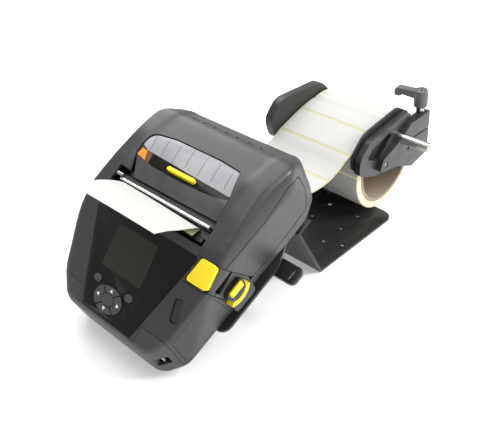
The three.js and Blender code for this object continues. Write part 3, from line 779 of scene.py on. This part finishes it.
def hole(corners, grow=0.3, low=-20, high=30):
    return prism(fillet(inset(corners, -grow)), low, high, matrix=ON_DISPLAY)


def battery_bay():
    return block(-100, -10, 21.7, 72.3, 2.7, 25.3)


def band_lines():
    """Thin joints before the latch, over the top and down the side, and a groove behind it."""
    side = prism([(55.2, 67.5), (69.2, 23), (69.8, 23.2), (55.8, 67.7)], 60, 100, "X")
    groove = prism([(60, 54.5), (85, 59.5), (85, 61), (60, 56)], 60, 100, "X")
    top = prism([(54, 54.9), (81, 54.9), (81, 55.5), (54, 55.5)], -3, 20, matrix=ON_DISPLAY)
    return side, groove, top


def add_bezel():
    main = block(-100, 100, 12.4, 94.8, 7.5, 120)
    notch = prism(BEZEL_NOTCH, -100, 100, "X")
    notch = cut(notch, block(-SHOULDER_X, SHOULDER_X, 0, 99, 0, 200))
    ring = prism(ellipse(*RING, 16.8, 11.3), -20, 30, matrix=ON_DISPLAY)
    soft = [prism(ellipse(RING[0] + side * 19.2, 20, 4.7, 3.6), -20, 30, matrix=ON_DISPLAY)
            for side in (-1, 1)]
    knob = accent(0.3, 66.7, 100)
    knob_axle = prism(ellipse(*KNOB, 10.1, 10.1, 64), 60, 100, "X")
    port = prism(fillet(inset(PORT_OUTLINE, -0.3)), 50, 100, "X")
    mouth = block(-56.8, 56.8, 80, 100, 60, 100)
    mesh = keep(OUTER, combine(main, lip_region(0), "UNION"))
    mesh = cut(mesh, INNER, hole(GLASS_OUTLINE, low=-1.8), ring, *soft, hole(LATCH_OUTLINE, 0.8),
               hole(PILL_OUTLINE), *band_lines(), port, battery_bay(), knob, knob_axle, mouth, notch)
    shell_object("bezel_shell", mesh, CASE, BASE, "front_bezel")
    door = cut(keep(OUTER, prism(fillet(PORT_OUTLINE), 50, 100, "X")), INNER)
    shell_object("port_door_shell", door, CASE, "port_door", "port_cover")


def add_lower_case():
    region = prism(LOWER_RIM, -100, 100, "X")
    slots = [block(x - 7, x + 7, -10, -0.8, 6, 9) for x in (-30, 30)]
    hinge = prism(ellipse(188, 30, 5.2, 5.2), -100, 100, "X")
    web_slot = block(-46, 46, 168, 200, 14, 18)
    strap_eye = block(51, 90, -2, 8, 15, 25)
    mesh = cut(keep(OUTER, region), INNER, lip_region(0.3), web_slot, hinge, strap_eye, battery_bay(), *slots)
    shell_object("lower_shell", mesh, NOSE, BASE, "lower_case")


def accent(grow, low, high):
    """A third of a ring under the latch knob."""
    y, z = KNOB
    sector = prism([(y - 1, z - 2 + grow), (y + 22, z - 12 + grow), (y + 22, z - 40), (y - 17, z - 40),
                    (y - 17 - grow, z - 18)], 50, 110, "X")
    outer = prism(ellipse(y, z, ACCENT_OUTER + grow, ACCENT_OUTER + grow, 64), low, high, "X")
    inner = prism(ellipse(y, z, ACCENT_INNER - grow, ACCENT_INNER - grow, 64), 40, 120, "X")
    return keep(cut(outer, inner), sector)


def add_knob():
    """The knob with its flat top and yellow bar, and the yellow ring round its stop."""
    y, z = KNOB
    disc = prism(ellipse(y, z, KNOB_R, KNOB_R, 64), 66.5, 78, "X")
    flat = cut(disc, block(60, 90, y - 20, y + 20, z + 6.6, z + 30))
    bevel(shell_object("knob_disc", flat, BLACK, "knob", "latch_knob"), 0.6)
    low, high = z - 0.6, z + 6
    outline = [(y - 7, low, 1.8), (y + 7, low, 1.8), (y + 7, high, 1.8), (y - 7, high, 1.8)]
    bar = prism(fillet(outline), 76, 79.6, "X")
    bevel(shell_object("knob_bar", bar, YELLOW, "knob", "latch_knob_bar"), 0.6)
    bevel(shell_object("accent_ring", accent(0, 67, 77.5), YELLOW, BASE, "latch_accent"), 0.5)
    outline = [(y - 9, z - 14, 2), (y + 15, z - 10, 3), (y + 15, z - 24, 4), (y - 9, z - 24, 4)]
    stop = cut(prism(fillet(outline), 62, 76.2, "X"), accent(0.3, 60, 90))
    bevel(shell_part("knob_stop", stop, CASE, BASE), 0.7)


add_cover()
add_window()
add_tear_bar()
add_knob()
add_bezel()
add_lower_case()


# ------------------------------------------------------------------ labels
CENTRE_X = PRINTER.translation.x
CAD_Y = ROLL_CENTRE.y - 132.9 * MM       # from the stand's drawing to the frame
WEB_PATH = [(114.5, 107.6), (96, 103.5), (64, 92.5), (48, 84), (32, 78.3), (10, 77.5), (-8, 82)]
WEB_INSIDE = [(192, 15.9), (172, 16.2), (150, 26), (128, 48), (110, 63)]
LABEL_LEFT = [(93.4, 76.5), (92.6, 82.5), (87.9, 91), (77.5, 104.4), (65.9, 115.0), (57.9, 121)]
LABEL_RIGHT = [(93.4, 74), (90.6, 79.5), (84, 87), (77.8, 93.5), (70.3, 102.4), (61.1, 111.1)]
SLOT_LINER_PATH = [(84.2, 77.4), (88, 76.6), (92.5, 74.4)]
LABEL_BOW = 1.2                          # mm that its middle rises
LABEL_MARGIN = 1.2 * MM                  # of liner beside a label
FIRST_GAP_END = 21                       # mm of web before its first whole label
ROLL_STEPS = 180
ARC_STEPS = 24
FIRST_ROLL_LABEL = math.radians(100)


def in_printer(y, z):
    point = PRINTER @ Vector((0, y * MM, z * MM))
    return point.y, point.z


def add_web():
    """The liner from the roll into the printer, with a label on each pitch of it."""
    path = [(y * MM + CAD_Y, z * MM) for y, z in WEB_PATH] + [in_printer(*p) for p in WEB_INSIDE]
    fine = smooth_path(path, 1.0 * MM)
    low_x, high_x = CENTRE_X - WEB_WIDTH / 2, CENTRE_X + WEB_WIDTH / 2
    liner = strip("web_liner", fine, low_x, high_x, -0.05 * MM, 0.2 * MM, LINER, BASE)
    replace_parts(liner, "label_web")
    per_label = round((LABEL_PITCH - LABEL_GAP) / MM)
    starts = [0] + list(range(FIRST_GAP_END, len(fine) - 10, round(LABEL_PITCH / MM)))
    for i, begin in enumerate(starts):
        end = begin + per_label if i else FIRST_GAP_END - round(LABEL_GAP / MM)
        part = fine[begin:min(end, len(fine) - 1) + 1]
        piece = strip(f"web_label_{i + 1}", part, low_x + LABEL_MARGIN, high_x - LABEL_MARGIN,
                      0.16 * MM, 0.12 * MM, LABEL, BASE, corner=2.0 * MM)


def resample(path, count):
    """The same path with a fixed number of points."""
    result = []
    for k in range(count):
        place = k * (len(path) - 1) / (count - 1)
        i = min(int(place), len(path) - 2)
        t = place - i
        result.append(tuple(a + (b - a) * t for a, b in zip(path[i], path[i + 1])))
    return result


def sheet_faces(rows, across):
    """Faces of a closed sheet: its lower points row by row, then its upper ones."""
    line = across + 1
    sheet = line * rows
    faces = []
    for i in range(rows - 1):
        for k in range(across):
            a = i * line + k
            faces.append((a, a + 1, a + line + 1, a + line))
            faces.append((sheet + a, sheet + a + line, sheet + a + line + 1, sheet + a + 1))
        a, b = i * line, i * line + across
        faces.append((a, a + line, sheet + a + line, sheet + a))
        faces.append((b, sheet + b, sheet + b + line, b + line))
    for k in range(across):
        a, b = k, (rows - 1) * line + k
        faces.append((a, sheet + a, sheet + a + 1, a + 1))
        faces.append((b, b + 1, sheet + b + 1, sheet + b))
    return faces


def add_issued_label():
    """The issued label curls up and leans to its left, over a strip of liner in the slot."""
    half = WEB_WIDTH / 2 - 0.4 * MM
    rows, across = 41, 12
    left = resample(smooth_path(LABEL_LEFT, 0.5), rows)
    right = resample(smooth_path(LABEL_RIGHT, 0.5), rows)
    points = []
    for depth in (0.0, 0.22):
        for (left_y, left_z), (right_y, right_z) in zip(left, right):
            for k in range(across + 1):
                t = k / across
                bow = LABEL_BOW * math.sin(math.pi * t)
                y = left_y + (right_y - left_y) * t
                z = left_z + (right_z - left_z) * t + bow + depth
                points.append(PRINTER @ Vector((-half + 2 * half * t, y * MM, z * MM)))
    piece = new_object("curled_label", points, sheet_faces(rows, across), LABEL, BASE)
    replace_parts(piece, "issued_label")
    path = smooth_path([in_printer(*p) for p in SLOT_LINER_PATH], 0.8 * MM)
    liner = strip("slot_liner", path, CENTRE_X - half, CENTRE_X + half, 0, 0.2 * MM, LINER, BASE)


def on_roll(x, radius, angle):
    y = ROLL_CENTRE.y + radius * math.cos(angle)
    return CENTRE_X + x, y, ROLL_CENTRE.z + radius * math.sin(angle)


def arc_label(name, angles, radius, half):
    """A label bent round the roll."""
    points = []
    for angle in angles:
        for r in (radius + 0.02 * MM, radius + 0.25 * MM):
            for x in (-half + LABEL_MARGIN, half - LABEL_MARGIN):
                points.append(on_roll(x, r, angle))
    faces = []
    for i in range(len(angles) - 1):
        a, b = 4 * i, 4 * i + 4
        faces += [(a, a + 1, b + 1, b), (a + 2, b + 2, b + 3, a + 3)]
        faces += [(a, b, b + 2, a + 2), (a + 1, a + 3, b + 3, b + 1)]
    last = 4 * (len(angles) - 1)
    faces += [(0, 2, 3, 1), (last, last + 1, last + 3, last + 2)]
    return new_object(name, points, faces, LABEL, "roll")


def add_roll():
    """A wound roll: its face in labels with gaps, its ends in rings."""
    half = WEB_WIDTH / 2
    inner = CORE_R + 3.8 * MM
    outer = ROLL_R - 0.3 * MM
    edge = 0.4 * MM
    profile = [(-half, inner), (-half, outer - edge), (-half + edge, outer), (half - edge, outer),
               (half, outer - edge), (half, inner)]
    size = len(profile)
    points, faces = [], []
    for k in range(ROLL_STEPS):
        angle = 2 * math.pi * k / ROLL_STEPS
        points += [on_roll(x, r, angle) for x, r in profile]
        a, b = k * size, ((k + 1) % ROLL_STEPS) * size
        faces += [(a + i, b + i, b + (i + 1) % size, a + (i + 1) % size) for i in range(size)]
    body = new_object("wound_roll", points, faces, EDGES, "roll")
    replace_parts(body, "label_roll")
    count = int(2 * math.pi * ROLL_R / LABEL_PITCH)
    step = 2 * math.pi / count
    covered = step - LABEL_GAP / ROLL_R
    for i in range(count):
        start = FIRST_ROLL_LABEL + i * step
        angles = [start + covered * k / ARC_STEPS for k in range(ARC_STEPS + 1)]
        piece = arc_label(f"roll_label_{i + 1}", angles, outer, half)


add_web()
add_issued_label()
add_roll()


# ------------------------------------------------------------------ display face
def add_symbols():
    """Arrows on the four navigation keys."""
    arrows = {                     # place from the ring's middle, and direction
        "key_left": (-12, 0, 180),
        "key_up": (0.5, 7.6, 90),
        "key_right": (12, 0, 0),
        "key_down": (-0.5, -7.6, 270),
    }
    shape = [(1.7, 0), (-1.2, 1.7), (-1.2, -1.7)]
    for key, (x, y, angle) in arrows.items():
        turn = math.radians(angle)
        outline = [(RING[0] + x + a * math.cos(turn) - b * math.sin(turn),
                    RING[1] + y + a * math.sin(turn) + b * math.cos(turn)) for a, b in shape]
        piece = plate(f"{key}_arrow", outline, 0.88, 0.98, DISPLAY, MARK, f"{key}_body")


def add_screen():
    outline = round_box(-27, 20, 31, 67, 1.2)
    piece = plate("screen_area", outline, 0.08, 0.16, DISPLAY, SCREEN, BASE)


add_symbols()
add_screen()


# ------------------------------------------------------------------ stage
FLOOR_SIZE = 8
FLOOR_GAP = 0.4 * MM
WORLD_STRENGTH = 0.62
LIGHTS = [                         # name, place, aim, size, power
    ("overhead", (-0.3, 0.1, 1.5), (0, 0, 0), (1.4, 1.4), 17),
    ("left_back", (-1.1, 0.6, 0.9), (0, 0, 0.1), (0.8, 0.8), 7),
    ("right_back", (0.95, 0.60, 0.95), (0, -0.08, 0.1), (0.3, 0.8), 19),
]
AZIMUTH = math.radians(42.6)
ELEVATION = math.radians(35.4)
DISTANCE = 0.65
AIM = Vector((-0.0153, -0.0096, 0.0320))
LENS = 48.5
SENSOR_WIDTH = 36.0


def add_floor():
    bpy.ops.mesh.primitive_plane_add(size=FLOOR_SIZE, location=(0, 0, -FLOOR_GAP))
    floor = bpy.context.object
    floor.name = "floor"
    shader = Shader("floor", (0.80, 0.80, 0.805), 0.7, specular=0.2)
    shader.set("Emission Color", (1, 1, 1, 1))
    shader.set("Emission Strength", 0.3)
    floor.data.materials.append(shader.mat)


def area_light(name, location, target, size, power):
    data = bpy.data.lights.new(name, "AREA")
    data.shape = "RECTANGLE"
    data.size, data.size_y = size
    data.energy = power
    light = bpy.data.objects.new(name, data)
    light.location = location
    towards = Vector(target) - Vector(location)
    light.rotation_euler = towards.to_track_quat("-Z", "Y").to_euler()
    bpy.context.scene.collection.objects.link(light)


def add_light():
    world = bpy.data.worlds.new("studio")
    bpy.context.scene.world = world
    world.use_nodes = True
    background = world.node_tree.nodes["Background"]
    background.inputs["Color"].default_value = (1, 1, 1, 1)
    background.inputs["Strength"].default_value = WORLD_STRENGTH
    for light in LIGHTS:
        area_light(*light)


def add_camera():
    data = bpy.data.cameras.new("camera")
    data.sensor_width = SENSOR_WIDTH
    data.lens = LENS
    data.clip_start = 0.01
    camera = bpy.data.objects.new("camera", data)
    level = math.cos(ELEVATION)
    away = Vector((math.sin(AZIMUTH) * level, -math.cos(AZIMUTH) * level, math.sin(ELEVATION)))
    camera.location = AIM + away * DISTANCE
    camera.rotation_euler = (-away).to_track_quat("-Z", "Y").to_euler()
    bpy.context.scene.collection.objects.link(camera)
    bpy.context.scene.camera = camera


add_floor()
add_light()
add_camera()
bpy.context.scene.view_settings.view_transform = "Standard"
